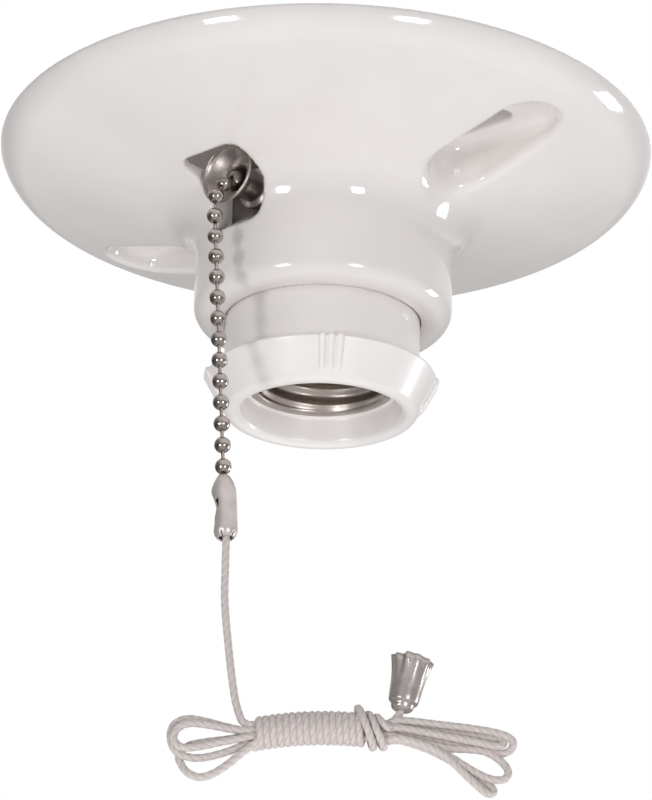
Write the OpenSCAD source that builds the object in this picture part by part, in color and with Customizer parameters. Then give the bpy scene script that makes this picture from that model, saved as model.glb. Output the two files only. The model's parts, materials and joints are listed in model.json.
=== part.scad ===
// Pull-chain ceiling lampholder: glazed porcelain canopy, medium screw socket, bead chain and pull cord.
// Millimetres. +Z is up. Z = 0 is the ceiling plane, and the lamp axis is the Z axis.
// The screw slots lie along X, and the chain leaves towards -Y.

/* [Porcelain body] */
// Diameter of the canopy
canopy_d = 133.4; // [130:0.1:137]
// Height of the canopy's outer edge
rim_h = 6; // [5.5:0.1:7]
// Radius of the rounded lower edge
rim_round = 5; // [3:0.1:5]
// Downward slope of the canopy towards the barrel
canopy_slope = 0.283; // [0.25:0.001:0.3]
// Outer radius of the barrel
barrel_r = 26.05; // [25.8:0.05:26.5]
// Height of the porcelain
body_h = 37.7; // [37:0.1:39]
// Radius of the hollow behind the barrel
cavity_r = 22.2; // [22.1:0.05:22.4]
// Radius of the opening around the neck of the socket
opening_r = 20.6; // [20.3:0.1:21]

/* [Screw slots] */
// Distance between the centres of the two slots
slot_spacing = 79.4; // [78:0.1:81]
// Width of a slot
slot_w = 5.4; // [4.6:0.1:6]
// Length of a slot from end to end
slot_l = 15; // [12:0.1:16]
// Thickness of the porcelain under a screw head
slot_floor = 4.5; // [4:0.1:5]

/* [Chain window] */
// Width of the window
window_w = 14; // [13.6:0.1:14.4]
// Depth of the window's lower edge below the ceiling
window_bottom = 24; // [23:0.1:25]
// Distance of the window's outer edge from the lamp axis
window_out = 36.4; // [36:0.1:37]

/* [Socket] */
// Height of the whole fixture without the chain
fixture_h = 57.3; // [57:0.1:58]
// Radius of the neck
neck_r = 19.6; // [19:0.1:20]
// Largest radius of the flared ring
ring_r = 23; // [22.6:0.1:23.4]
// Radius of the ring's lower lip
lip_r = 19.2; // [18.8:0.1:19.5]
// Outer radius of the screw shell's threads
shell_r = 13.7; // [13.5:0.05:13.9]
// Pitch of the lamp thread
thread_pitch = 3.63; // [3.6:0.01:3.66]

/* [Chain] */
// Diameter of a bead
bead_d = 3.2; // [3.1:0.05:3.25]
// Distance between neighbouring beads
bead_pitch = 4.5; // [4.45:0.01:4.52]
// Beads on the hanging chain below the swinging bead
hanging_beads = 12; // [12:1:12]
// Height of the bell mouth's axis below the ceiling
bell_drop = 15; // [15:0.1:15.2]

/* [Cord] */
// Diameter of the pull cord
cord_d = 1.5; // [1.4:0.05:1.6]
// Width of the hank across its flat side
hank_w = 6.4; // [6:0.1:7]

/* [Hidden] */
$fn = 96;
eps = 0.02;

// ---- heights and radii that follow from the driving dimensions ----
canopy_r = canopy_d / 2;
recess_in = 29.7;              // recess of a screw slot, nearest point to the lamp axis
recess_out = 57.4;
recess_half = 7;
boss_wall = 3.6;
ledge_z = -26.6;               // porcelain ledge that carries the socket
socket_top = -23.6;
disc_top = -22.6;
floor_z = -30;                 // underside of the socket's floor, inside the shell
shell_mouth = -51.6;
axle_y = -7;                   // axle of the lever and the rotor
axle_z = -5.8;
arm_l = 9.5;                   // axle to the chain's end bead
arm_rest = 13.7;               // half of the lever's swing, in degrees
bell_out = 30.4;               // distance of the bell's lip from the lamp axis
bell_r = 6.4;
stem_r = 3;
chain_bore = 2.1;
cheek_x = 7;                   // outer face of a bracket cheek
bead_r = bead_d / 2;
link_r = 0.42;

// Underside of the canopy at radius r
function underside(r) = -rim_h - canopy_slope * (canopy_r - rim_round - r);

// Points of an arc in the plane of a profile
function arc(cx, cy, r, from, to, n) = [
    for (i = [0 : n]) [cx + r * cos(from + (to - from) * i / n), cy + r * sin(from + (to - from) * i / n)]
];

// ---- chain: centres of the beads ----
function along_bell(i) = [0, -22.75 + bead_pitch * i, -bell_drop];
inner_count = 4;
THROAT = [0, -27.2, -bell_drop - 0.2];
MOUTH = [0, -30.7, -bell_drop - 2.6];
LIP = [0, -33, -bell_drop - 6.1];
SWING = [0, -33.2, -bell_drop - 10.5];
LEAN = [0.078, 0, -0.997];     // the chain hangs a little aslant
function hanging(i) = SWING + LEAN * bead_pitch * i;
LEVER_BEAD = [0, axle_y + arm_l * sin(arm_rest), axle_z - arm_l * cos(arm_rest)];

// ---- cord: points in the hanging plane, [along the hank, height] ----
coupling_l = 13;
coupling_top = hanging(hanging_beads) + LEAN * 1.9;
coupling_low = coupling_top + LEAN * coupling_l;
hank_turn = 40;                // the hank's direction, from +X towards +Y
CORD_FOOT = [5.6, -33.3];
function in_plane(p) = [CORD_FOOT.x + p.x * cos(hank_turn), CORD_FOOT.y + p.x * sin(hank_turn), p.y];
cord_points = [[0, -94.5], [0, -100], [0.1, -107], [1, -115.5], [2.1, -123.5], [3.1, -128], [4.6, -130.4]];
tail_points = [[31.6, -129.9], [32.5, -128.8], [33.2, -127.7]];
TIP_AT = [33.2, -127.7];
TIP_LEAN = 11.5;

// ---- shared shapes ----
module revolve(points) {
    rotate_extrude() polygon(points);
}

module stadium(x1, x2, half, z1, z2) {
    translate([0, 0, z1]) linear_extrude(z2 - z1) {
        translate([x1 + half, 0]) circle(half);
        translate([x2 - half, 0]) circle(half);
        translate([x1 + half, -half]) square([x2 - x1 - 2 * half, 2 * half]);
    }
}

module box(low, high) {
    translate(low) cube(high - low);
}

module rod(p, q, r) {
    v = q - p;
    translate(p) rotate([0, acos(v.z / norm(v)), atan2(v.y, v.x)]) cylinder(h = norm(v), r = r, $fn = 24);
}

module rod_x(y, z, x1, x2, r, fn = 48) {
    translate([x1, y, z]) rotate([0, 90, 0]) cylinder(h = x2 - x1, r = r, $fn = fn);
}

// A bead at p
module bead(p) {
    translate(p) sphere(bead_r, $fn = 48);
}

// The rod between two beads: it meets both balls
module link(p, q) {
    difference() {
        rod(p, q, link_r);
        bead(p);
        bead(q);
    }
}

// The rod out of one bead towards the next body's bead: it stops short of that one
module loose_link(p, q) {
    v = (q - p) / norm(q - p);
    difference() {
        rod(p, q - v * (bead_r + 0.35), link_r);
        bead(p);
    }
}

module pan_screw(head_r, head_h, shank_r, shank_l, slot = 0.9) {
    difference() {
        union() {
            cylinder(h = head_h, r = head_r);
            translate([0, 0, -shank_l]) cylinder(h = shank_l + 0.1, r = shank_r);
        }
        translate([-head_r - 1, -slot / 2, head_h * 0.5]) cube([2 * head_r + 2, slot, head_h]);
    }
}

// ---- porcelain ----
shoulder = 3.5;
fillet = 9;
tilt = atan(canopy_slope);
fillet_x = barrel_r + fillet;
fillet_z = underside(fillet_x) - fillet / cos(tilt);
outside_profile = concat(
    [[0, 0], [canopy_r, 0]],
    arc(canopy_r - rim_round, -rim_h + rim_round, rim_round, 0, -90, 10),
    arc(fillet_x, fillet_z, fillet, 90 + tilt, 180, 14),
    arc(barrel_r - shoulder, -body_h + shoulder, shoulder, 0, -90, 8),
    [[0, -body_h]]
);
hollow_profile = [
    [0, 1], [60.5, 1], [60.5, -0.8], [58, -1.6], [35, -8], [25, -11], [cavity_r, -14],
    [cavity_r, ledge_z], [opening_r, ledge_z], [opening_r, -body_h - 1], [0, -body_h - 1]
];

// The chain window as seen from the front: its right side draws in towards the bottom
module window_outline() {
    half = window_w / 2;
    polygon([
        [-half, 1], [-half, 0.8 - window_bottom], [0.8 - half, -window_bottom], [3.4, -window_bottom],
        [4.4, 0.7 - window_bottom], [4.9, 2 - window_bottom], [5.6, -19.6], [half, -17], [half, 1]
    ]);
}

module slot_boss() {
    intersection() {
        revolve(outside_profile);
        stadium(recess_in - boss_wall, recess_out + boss_wall, recess_half + boss_wall, -20, 0);
    }
}

module porcelain_body() {
    color("ghostwhite") difference() {
        union() {
            difference() {
                revolve(outside_profile);
                revolve(hollow_profile);
            }
            difference() {
                union() {
                    slot_boss();
                    rotate([0, 0, 180]) slot_boss();
                }
                translate([0, 0, -40]) cylinder(h = 41, r = cavity_r);
            }
        }
        for (turn = [0, 180]) rotate([0, 0, turn]) {
            stadium(recess_in, recess_out, recess_half, -30, -slot_floor);
            stadium((slot_spacing - slot_l) / 2, (slot_spacing + slot_l) / 2, slot_w / 2, -10, 1);
        }
        translate([0, -15, 0]) rotate([90, 0, 0]) linear_extrude(window_out - 15) window_outline();
        box([-10.5, -35.5, -11.6], [10.5, -20, 1]);
        rotate_extrude() translate([cavity_r - 0.1, socket_top + 1.6]) circle(0.75, $fn = 24);
    }
}

// ---- socket ----
ring_top = -49;
ring_profile = concat(
    [[14.6, floor_z], [14.6, shell_mouth], [15, shell_mouth - 0.2], [16.2, -56.4]],
    arc(17.2, -fixture_h + 1, 1, 180, 270, 5),
    arc(lip_r - 1.4, -fixture_h + 1.4, 1.4, 270, 330, 5),
    [[ring_r, ring_top - 0.5], [ring_r - 0.3, ring_top], [neck_r, ring_top]]
);
socket_profile = concat(
    ring_profile,
    [[neck_r, ledge_z], [cavity_r - 0.2, ledge_z], [cavity_r - 0.2, socket_top]],
    [[0, socket_top], [0, floor_z]]
);

// Three ribs stand on the flared ring every quarter turn
module ribs() {
    for (quarter = [45 : 90 : 315], side = [-4.4, 0, 4.4]) rotate([0, 0, quarter + side])
        rotate([90, 0, 0]) linear_extrude(1.3, center = true)
            polygon([[21, ring_top - 0.2], [ring_r + 0.3, ring_top - 0.2], [ring_r + 0.3, ring_top - 0.8],
                [20.2, -55.6], [19.4, -55.6]]);
}

module socket_body() {
    color("white") difference() {
        union() {
            revolve(socket_profile);
            ribs();
        }
        translate([0, 0, floor_z - 1]) cylinder(h = 8, r = 1.1);
        for (side = [-9, 9]) translate([side, -3, floor_z - 1]) cylinder(h = 8, r = 1.6);
        for (side = [-13.5, 13.5]) translate([side, 4, -28.2]) cylinder(h = 8, r = 1.7);
        box([10.6, 2.4, floor_z - 1], [11.1, 6, socket_top + 1]);
    }
}

// Thread rounds of the screw shell, as a wave along its wall
turns = 5;
steps = 12;
wave = 0.42;
function wall_wave(offset) = [
    for (i = [0 : turns * steps])
        [shell_r - wave - offset - wave * cos(360 * i / steps), -50.4 + thread_pitch * i / steps]
];
function reversed(list) = [for (i = [len(list) - 1 : -1 : 0]) list[i]];
shell_wall = 0.35;

module screw_shell() {
    top = floor_z - 0.4;
    low_wave = wall_wave(0);
    color("silver") difference() {
        revolve(concat(
            [[14.4, shell_mouth], [14.4, shell_mouth + 0.5], [13.2, shell_mouth + 0.6]],
            low_wave, [[12.9, top], [12.9, floor_z], [6, floor_z], [6, top], [12.5, top]],
            reversed(wall_wave(shell_wall)), [[13, shell_mouth]]
        ));
        for (side = [-9, 9]) translate([side, -3, top - 1]) cylinder(h = 3, r = 1.6);
    }
}

module contact_base() {
    color("goldenrod") difference() {
        box([-3, -3, floor_z - 0.8], [3, 4, floor_z]);
        translate([0, 0, floor_z - 2]) cylinder(h = 4, r = 1.1);
    }
}

// Sprung tongue of the centre contact, which a lamp presses up
module contact_leaf() {
    color("goldenrod") rotate([90, 0, 90]) linear_extrude(6, center = true) polygon([
        [-3.4, floor_z - 1], [-4.1, floor_z - 1], [-4.1, floor_z - 1.7], [-1.6, -33.8], [1.6, -34],
        [4, -33.1], [4, -33.6], [1.8, -34.5], [-1.8, -34.3], [-4.6, -31.9], [-4.6, floor_z - 0.5],
        [-3.4, floor_z - 0.5]
    ]);
}

module contact_rivet() {
    color("goldenrod") translate([0, 0, floor_z - 1.5]) {
        cylinder(h = 0.7, r = 1.8);
        cylinder(h = 1.5 - floor_z - 22.1, r = 1.1);
        translate([0, 0, 1.5 - floor_z - 22.1]) cylinder(h = 0.7, r = 2);
    }
}

module socket_screws() {
    color("silver") for (side = [-9, 9]) translate([side, -3, floor_z - 0.4]) mirror([0, 0, 1])
        pan_screw(2.4, 1.5, 1.6, 0.4 - floor_z + disc_top + 1.8);
}

module insulating_disc() {
    color("dimgray") difference() {
        translate([0, 0, socket_top]) cylinder(h = 1, r = cavity_r - 0.2);
        translate([0, 0, socket_top - 1]) cylinder(h = 4, r = 1.1);
        for (side = [-9, 9]) translate([side, -3, socket_top - 1]) cylinder(h = 4, r = 1.6);
        for (side = [-13.5, 13.5]) translate([side, 4, socket_top - 1]) cylinder(h = 4, r = 1.7);
        box([10.6, 2.4, socket_top - 1], [11.1, 6, disc_top + 1]);
    }
}

module retaining_ring() {
    color("darkgray") rotate_extrude() translate([cavity_r - 0.1, socket_top + 1.6]) circle(0.6, $fn = 24);
}

// ---- switch ----
plate = 1;                     // sheet thickness of the bracket
cheek_top = -3.4;

module mechanism_bracket() {
    color("darkgray") difference() {
        union() {
            box([-cheek_x, -20.4, disc_top], [cheek_x, -19.4, -7.2]);
            for (side = [-1, 1]) {
                box([min(side * cheek_x, side * (cheek_x - plate)), -19.4, disc_top],
                    [max(side * cheek_x, side * (cheek_x - plate)), 11.5, cheek_top]);
                box([min(side * cheek_x, side * 11.5), -7, disc_top],
                    [max(side * cheek_x, side * 11.5), 1, disc_top + plate]);
            }
        }
        translate([0, -18, -bell_drop]) rotate([90, 0, 0]) cylinder(h = 4, r = stem_r);
        rod_x(axle_y, axle_z, -9, 9, 1.25);
        rod_x(8, -12, -9, 9, 1);
        rod_x(4, -18, -9, 9, 1);
        for (side = [-9, 9]) translate([side, -3, disc_top - 1]) cylinder(h = 4, r = 1.6);
    }
}

// Flared guide of the chain, along -Y
module bell_mouth() {
    outer = [[stem_r, 17], [stem_r, 20.4], [4.2, 20.4], [4.2, 21.6], [stem_r, 22.2], [stem_r, 24],
        [3.4, 25.4], [4.2, 27.1], [5.3, 28.7], [6.1, 29.9], [bell_r, bell_out - 0.15], [bell_r, bell_out]];
    inner = [[bell_r - 0.3, bell_out], [5.5, 29.5], [4.5, 28.3], [3.4, 26.8], [2.6, 25.1],
        [chain_bore, 23.4], [chain_bore, 17]];
    color("silver") translate([0, 0, -bell_drop]) rotate([90, 0, 0]) revolve(concat(outer, inner));
}

module bell_nut() {
    color("silver") translate([0, -17.4, -bell_drop]) rotate([90, 0, 0]) difference() {
        cylinder(h = 2, r = 4.6, $fn = 6);
        translate([0, 0, -1]) cylinder(h = 4, r = stem_r);
    }
}

blade_z = -4.8;
block_back = 12;
module switch_block() {
    color("black") difference() {
        box([plate - cheek_x, 1, disc_top], [cheek_x - plate, block_back, blade_z]);
        box([-2.3, 0, disc_top - 1], [2.3, block_back + 1, disc_top + 1.4]);
        rod_x(8, -12, -9, 9, 1);
        rod_x(4, -18, -9, 9, 1);
    }
}

module block_pins() {
    color("silver") {
        rod_x(8, -12, -7.6, 7.6, 1);
        rod_x(4, -18, -7.6, 7.6, 1);
    }
}

strip = 0.5;                   // thickness of the contact strips
blade_tip = -2.5;

// Strip over the block's top and down its back
module blade(x1, x2) {
    box([x1, blade_tip, blade_z], [x2, block_back + strip, blade_z + strip]);
    box([x1, block_back, disc_top], [x2, block_back + strip, blade_z + 0.1]);
}

module terminal_plate(side) {
    difference() {
        box(
            [min(side * 10.6, side * 16.5), 1.4, disc_top],
            [max(side * 10.6, side * 16.5), 9, disc_top + strip]
        );
        translate([side * 13.5, 4, disc_top - 1]) cylinder(h = 3, r = 1.7);
    }
}

module line_contact() {
    color("goldenrod") {
        blade(-4.3, -2.6);
        terminal_plate(-1);
        box([-12.6, 8.9, disc_top], [-10.6, 13.6, disc_top + strip]);
        box([-12.6, block_back, disc_top], [-2.6, 13.6, disc_top + strip]);
    }
}

module load_contact() {
    color("goldenrod") difference() {
        union() {
            blade(-1.9, -0.2);
            box([-1.9, -2, disc_top], [-0.2, block_back + strip, disc_top + strip]);
            box([-2, -2, disc_top], [2, 2, disc_top + strip]);
        }
        translate([0, 0, disc_top - 1]) cylinder(h = 3, r = 1.1);
    }
}

module neutral_strap() {
    color("silver") {
        terminal_plate(1);
        box([10.6, 2.4, floor_z], [11.1, 6, disc_top + 0.1]);
    }
}

module terminal_screw(side) {
    translate([side * 13.5, 4, disc_top + strip]) pan_screw(3.4, 2.4, 1.7, 5.6);
}

module line_screw() {
    color("goldenrod") terminal_screw(-1);
}

module neutral_screw() {
    color("silver") terminal_screw(1);
}

rotor_r = 4;
module rotor() {
    color("black") difference() {
        union() {
            rod_x(axle_y, axle_z, -4.5, 0.5, rotor_r);
            rod_x(axle_y, axle_z, 0.4, 0.8, 2.2);
        }
        rod_x(axle_y, axle_z, -5, 1, 1.2);
        contact_band();
    }
}

// The part of the rotor's rim that joins the two blades
module contact_band() {
    intersection() {
        difference() {
            rod_x(axle_y, axle_z, -4.3, -0.2, rotor_r);
            rod_x(axle_y, axle_z, -5, 0, rotor_r - 0.5);
        }
        box([-5, axle_y + 2.2, axle_z - 5], [1, axle_y + 5, axle_z + 5]);
    }
}

module rotor_contact() {
    color("goldenrod") contact_band();
}

ratchet_teeth = 8;
module ratchet_wheel() {
    outline = [
        for (i = [0 : ratchet_teeth - 1], tip = [1, 0])
            let (a = 360 * i / ratchet_teeth + (tip == 1 ? 0 : 6), r = tip == 1 ? 4.2 : 3.3)
                [r * cos(a), r * sin(a)]
    ];
    color("silver") difference() {
        translate([0.8, axle_y, axle_z]) rotate([90, 0, 90]) linear_extrude(1.2) polygon(outline);
        rod_x(axle_y, axle_z, 0, 3, 1.2);
    }
}

module rotor_axle() {
    color("silver") {
        rod_x(axle_y, axle_z, -7.4, 7.4, 1.2);
        for (x = [-7.9, 7.35]) rod_x(axle_y, axle_z, x, x + 0.55, 1.8);
    }
}

// Lever on the rotor's axle: its forked foot holds the chain's end bead, and its pawl drives the ratchet
module chain_lever() {
    side = 2.6;
    thick = 1.2;
    foot_y = LEVER_BEAD.y - 1.95;
    color("gray") difference() {
        union() {
            rod_x(axle_y, axle_z, side, side + thick, 2.8);
            translate([side, axle_y, axle_z]) rotate([7.4, 0, 0]) {
                box([0, -1.5, -11], [thick, 1.5, 0]);
                box([-1.6, -1.2, -6.2], [0.1, 1.2, -4.8]);
            }
            box([-2.2, foot_y, -17], [side + thick, foot_y + 0.65, -12.9]);
        }
        rod_x(axle_y, axle_z, side - 1, side + 3, 1.27);
        box([-0.8, foot_y - 1, -18], [0.8, foot_y + 2, -13.6]);
        bead(LEVER_BEAD);
    }
}

module lever_bead() {
    color("silver") bead(LEVER_BEAD);
}

// Coil of the lever's return spring around the axle, hooked on the cheek
coil_r = 2.1;
wire_r = 0.3;
coil_turns = 2;
function coil_point(t) = [4.5 + 0.62 * t, axle_y + coil_r * cos(360 * t), axle_z + coil_r * sin(360 * t)];

module return_spring() {
    last = coil_point(coil_turns);
    leg = [last + [0.35, 0, 0.1], [cheek_x - plate, last.y, last.z + 0.1]];
    color("silver") tube(concat([for (i = [0 : coil_turns * 14]) coil_point(i / 14)], leg), wire_r, 6);
}

// ---- swept tubes ----
function unit(v) = v / norm(v);
function tangent(path, i) = unit(path[min(i + 1, len(path) - 1)] - path[max(i - 1, 0)]);
function side_of(t) = unit(cross(t, abs(t.x) < 0.9 ? [1, 0, 0] : [0, 1, 0]));

// A closed tube of n sides along a path
module tube(path, r, n) {
    rings = [
        for (i = [0 : len(path) - 1])
            let (t = tangent(path, i), u = side_of(t), v = cross(t, u))
                for (k = [0 : n - 1]) path[i] + r * (u * cos(360 * k / n) + v * sin(360 * k / n))
    ];
    walls = [
        for (i = [0 : len(path) - 2], k = [0 : n - 1])
            let (a = i * n + k, b = i * n + (k + 1) % n, c = b + n, d = a + n) each [[c, b, a], [d, c, a]]
    ];
    last = (len(path) - 1) * n;
    start_cap = [for (k = [0 : n - 1]) k];
    end_cap = [for (k = [n - 1 : -1 : 0]) last + k];
    polyhedron(rings, concat([start_cap, end_cap], walls), 4);
}

// A smooth line through points, by a cubic between each pair
function smooth(p, steps) = [
    for (i = [0 : len(p) - 2], k = [0 : steps - 1])
        let (
            t = k / steps, a = p[max(i - 1, 0)], b = p[i], c = p[i + 1], d = p[min(i + 2, len(p) - 1)],
            m = (c - a) / 2, n = (d - b) / 2
        ) b * (2 * t ^ 3 - 3 * t ^ 2 + 1) + m * (t ^ 3 - 2 * t ^ 2 + t)
            + c * (3 * t ^ 2 - 2 * t ^ 3) + n * (t ^ 3 - t ^ 2),
    p[len(p) - 1]
];

// ---- chain ----
module inner_beads() {
    color("silver") for (i = [0 : inner_count - 1]) bead(along_bell(i));
}

module inner_links() {
    color("silver") {
        for (i = [0 : inner_count - 2]) link(along_bell(i), along_bell(i + 1));
        loose_link(along_bell(inner_count - 1), LEVER_BEAD);
        loose_link(along_bell(0), THROAT);
    }
}

module throat_bead() {
    color("silver") bead(THROAT);
}

module throat_link() {
    color("silver") loose_link(THROAT, MOUTH);
}

module mouth_bead() {
    color("silver") bead(MOUTH);
}

module mouth_link() {
    color("silver") loose_link(MOUTH, LIP);
}

module lip_bead() {
    color("silver") bead(LIP);
}

module lip_link() {
    color("silver") loose_link(SWING, LIP);
}

module swing_bead() {
    color("silver") bead(SWING);
}

module swing_link() {
    color("silver") loose_link(hanging(1), SWING);
}

module chain_beads() {
    color("silver") for (i = [1 : hanging_beads]) bead(hanging(i));
}

module chain_links() {
    color("silver") for (i = [1 : hanging_beads - 1]) link(hanging(i), hanging(i + 1));
}

// Sheet-metal tube that joins the chain to the cord: a bead sits in its upper end, the cord in its lower
module along_lean(p) {
    translate(p) rotate([0, 180 - atan2(LEAN.x, -LEAN.z), 0]) children();
}

module chain_coupling() {
    outer = [
        [0.95, 0], [1.3, 0.5], [1.9, 1.6], [2.3, 2.9], [2.4, 3.6],
        [2.4, 11.4], [1.9, 12.5], [1.25, coupling_l]
    ];
    inner = [[1.25, 12.6], [1.6, 12.2], [2, 11.2], [2, 3.6], [1.95, 3], [1.62, 1.9], [0.95, 0.7]];
    color("silver") along_lean(coupling_top) difference() {
        revolve(concat(outer, inner));
        rotate([0, 0, -hank_turn]) box([0.9, -1.2, 5.2], [4, 1.2, 7.4]);
    }
}

module coupling_bead() {
    color("silver") bead(hanging(hanging_beads + 1));
}

module coupling_link() {
    color("silver") loose_link(hanging(hanging_beads + 1), hanging(hanging_beads));
}

// ---- cord ----
module in_hank_frame() {
    translate([CORD_FOOT.x, CORD_FOOT.y, 0]) rotate([0, 0, hank_turn]) children();
}

module cord_run() {
    color("ivory") tube([for (p = smooth(cord_points, 2)) in_plane(p)], cord_d / 2, 8);
}

module blob(a, ra, b, rb) {
    hull() {
        translate(a) circle(ra, $fn = 32);
        translate(b) circle(rb, $fn = 32);
    }
}

// Outer shape of the wrapped middle and the loops at both ends
module cord_hank() {
    color("ivory") in_hank_frame() rotate([90, 0, 0]) linear_extrude(hank_w, center = true) {
        blob([-5, -133.6], 5, [7, -132.4], 3.3);
        blob([-3.4, -138], 3.6, [7, -133.4], 2.4);
        blob([7, -132.3], 3.4, [30, -131.6], 3.5);
        blob([30, -131.6], 3.5, [50.5, -134.6], 4.2);
        blob([36, -132.4], 3.4, [49.6, -140.2], 3.8);
    }
}

module cord_tail() {
    color("ivory") tube([for (p = smooth(tail_points, 2)) in_plane(p)], cord_d / 2, 8);
}

module cord_tip() {
    outer = [
        [0.75, 0], [1.7, 0.2], [2.5, 0.9], [2.85, 1.9], [2.95, 3.4], [3.15, 5.8], [3.55, 8], [4.05, 10]
    ];
    inner = [[3.75, 10], [3.25, 8], [2.85, 5.8], [2.65, 3.4], [2.5, 2.2], [2.1, 1.4], [0.75, 1]];
    color("silver") in_hank_frame() translate([TIP_AT.x, 0, TIP_AT.y]) rotate([0, TIP_LEAN, 0])
        revolve(concat(outer, inner));
}

porcelain_body();
socket_body();
screw_shell();
contact_base();
contact_leaf();
contact_rivet();
socket_screws();
insulating_disc();
retaining_ring();
mechanism_bracket();
bell_mouth();
bell_nut();
switch_block();
block_pins();
line_contact();
load_contact();
neutral_strap();
line_screw();
neutral_screw();
rotor();
rotor_contact();
ratchet_wheel();
rotor_axle();
chain_lever();
lever_bead();
return_spring();
inner_beads();
inner_links();
throat_bead();
throat_link();
mouth_bead();
mouth_link();
lip_bead();
lip_link();
swing_bead();
swing_link();
chain_beads();
chain_links();
chain_coupling();
coupling_bead();
coupling_link();
cord_run();
cord_hank();
cord_tail();
cord_tip();
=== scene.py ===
"""Looks of a pull-chain porcelain ceiling lampholder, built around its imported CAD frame.

Points and sizes are in millimetres until make_mesh() turns them into metres; lights are placed in metres.
Z = 0 is the ceiling plane, the lamp axis is the Z axis, and the chain leaves towards -Y.
"""
import json
import math

import bmesh
import bpy
import numpy as np
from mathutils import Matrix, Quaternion, Vector


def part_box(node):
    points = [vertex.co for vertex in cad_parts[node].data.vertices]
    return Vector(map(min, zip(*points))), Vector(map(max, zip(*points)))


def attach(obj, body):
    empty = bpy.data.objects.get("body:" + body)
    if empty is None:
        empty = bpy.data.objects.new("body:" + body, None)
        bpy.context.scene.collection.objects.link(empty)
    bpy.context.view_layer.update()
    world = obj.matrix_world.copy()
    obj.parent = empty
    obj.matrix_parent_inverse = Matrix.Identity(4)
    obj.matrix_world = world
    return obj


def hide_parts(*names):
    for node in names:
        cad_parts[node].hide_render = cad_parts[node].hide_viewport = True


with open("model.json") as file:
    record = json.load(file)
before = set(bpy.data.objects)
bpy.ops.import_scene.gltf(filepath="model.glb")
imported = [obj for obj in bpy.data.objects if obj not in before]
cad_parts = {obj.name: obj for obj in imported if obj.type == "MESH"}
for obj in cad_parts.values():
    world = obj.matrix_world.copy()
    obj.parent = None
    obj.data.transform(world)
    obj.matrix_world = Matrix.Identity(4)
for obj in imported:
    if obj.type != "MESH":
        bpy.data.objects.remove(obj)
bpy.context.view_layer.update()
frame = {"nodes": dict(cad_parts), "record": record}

MM = 0.001
UP = np.array([0.0, 0.0, 1.0])

# The hanging chain: where it swings from, its direction, and the coupling under its last bead
SWING = np.array([0, -33.2, -25.5])
LEAN = np.array([0.078, 0, -0.997])
PITCH = 4.5
HANGING_BEADS = 12
COUPLING_DROP = 1.9

CORNER_STEPS = 6  # points on each rounded corner of an outline


# ---------------------------------------------------------------- meshes


def make_mesh(name, points, faces, finish, smooth=True):
    """An object from points in millimetres, with one material."""
    mesh = bpy.data.meshes.new(name)
    corners = (np.asarray(points, float) * MM).tolist()
    mesh.from_pydata(corners, [], [tuple(int(i) for i in face) for face in faces])
    mesh.polygons.foreach_set("use_smooth", [smooth] * len(mesh.polygons))
    mesh.materials.append(finish)
    mesh.update()
    piece = bpy.data.objects.new(name, mesh)
    bpy.context.scene.collection.objects.link(piece)
    return piece


def put(piece, node):
    """The piece stands for a CAD node: it rides on the node's body, and the node is hidden."""
    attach(piece, BODY_OF[node])
    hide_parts(node)
    return piece


def grid_faces(rows, columns, close_rows=False):
    """Quads of a grid of rows x columns points, row by row: each row is a closed ring."""
    last_row = rows if close_rows else rows - 1
    r, c = np.meshgrid(np.arange(last_row), np.arange(columns), indexing="ij")
    a = r * columns + c
    b = r * columns + (c + 1) % columns
    down = ((r + 1) % rows) * columns
    return np.stack([a, b, down + (c + 1) % columns, down + c], -1).reshape(-1, 4)


def rounded(corners):
    """An outline through (x, y, radius) corners, each rounded by an arc-like curve."""
    line = []
    count = len(corners)
    for i, (x, y, radius) in enumerate(corners):
        here = np.array([x, y], float)
        if radius == 0:
            line.append(here)
            continue
        before = np.array(corners[i - 1][:2], float) - here
        after = np.array(corners[(i + 1) % count][:2], float) - here
        start = here + before / np.linalg.norm(before) * radius
        end = here + after / np.linalg.norm(after) * radius
        for t in np.linspace(0, 1, CORNER_STEPS):
            line.append((1 - t) ** 2 * start + 2 * t * (1 - t) * here + t * t * end)
    return np.array(line)


def smooth_line(points, per_step):
    """Points of a Catmull-Rom curve through the given ones."""
    p = np.asarray(points, float)
    p = np.vstack([2 * p[0] - p[1], p, 2 * p[-1] - p[-2]])
    out = []
    for i in range(1, len(p) - 2):
        for t in np.linspace(0, 1, per_step, endpoint=False):
            out.append(
                0.5
                * (
                    2 * p[i]
                    + (p[i + 1] - p[i - 1]) * t
                    + (2 * p[i - 1] - 5 * p[i] + 4 * p[i + 1] - p[i + 2]) * t**2
                    + (3 * p[i] - p[i - 1] - 3 * p[i + 1] + p[i + 2]) * t**3
                )
            )
    return np.array(out + [p[-2]])


def evenly(line, step):
    """The line again, with points one step apart."""
    along = np.concatenate([[0], np.cumsum(np.linalg.norm(np.diff(line, axis=0), axis=1))])
    at = np.linspace(0, along[-1], max(2, int(round(along[-1] / step)) + 1))
    return np.stack([np.interp(at, along, line[:, k]) for k in range(3)], axis=1)


def lathe(outline, angles, change=None):
    """A closed outline of (radius, height) turned round the Z axis; change() may move the points."""
    radius, angle = np.meshgrid(outline[:, 0], angles, indexing="ij")
    height = np.meshgrid(outline[:, 1], angles, indexing="ij")[0]
    if change:
        radius, height = change(radius, height, angle)
    points = np.stack([radius * np.cos(angle), radius * np.sin(angle), height], -1).reshape(-1, 3)
    return points, grid_faces(len(outline), len(angles), close_rows=True)


def full_turn(count):
    """Angles of a whole turn, the first one not repeated at the end."""
    return np.linspace(0, 2 * math.pi, count, endpoint=False)


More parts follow.
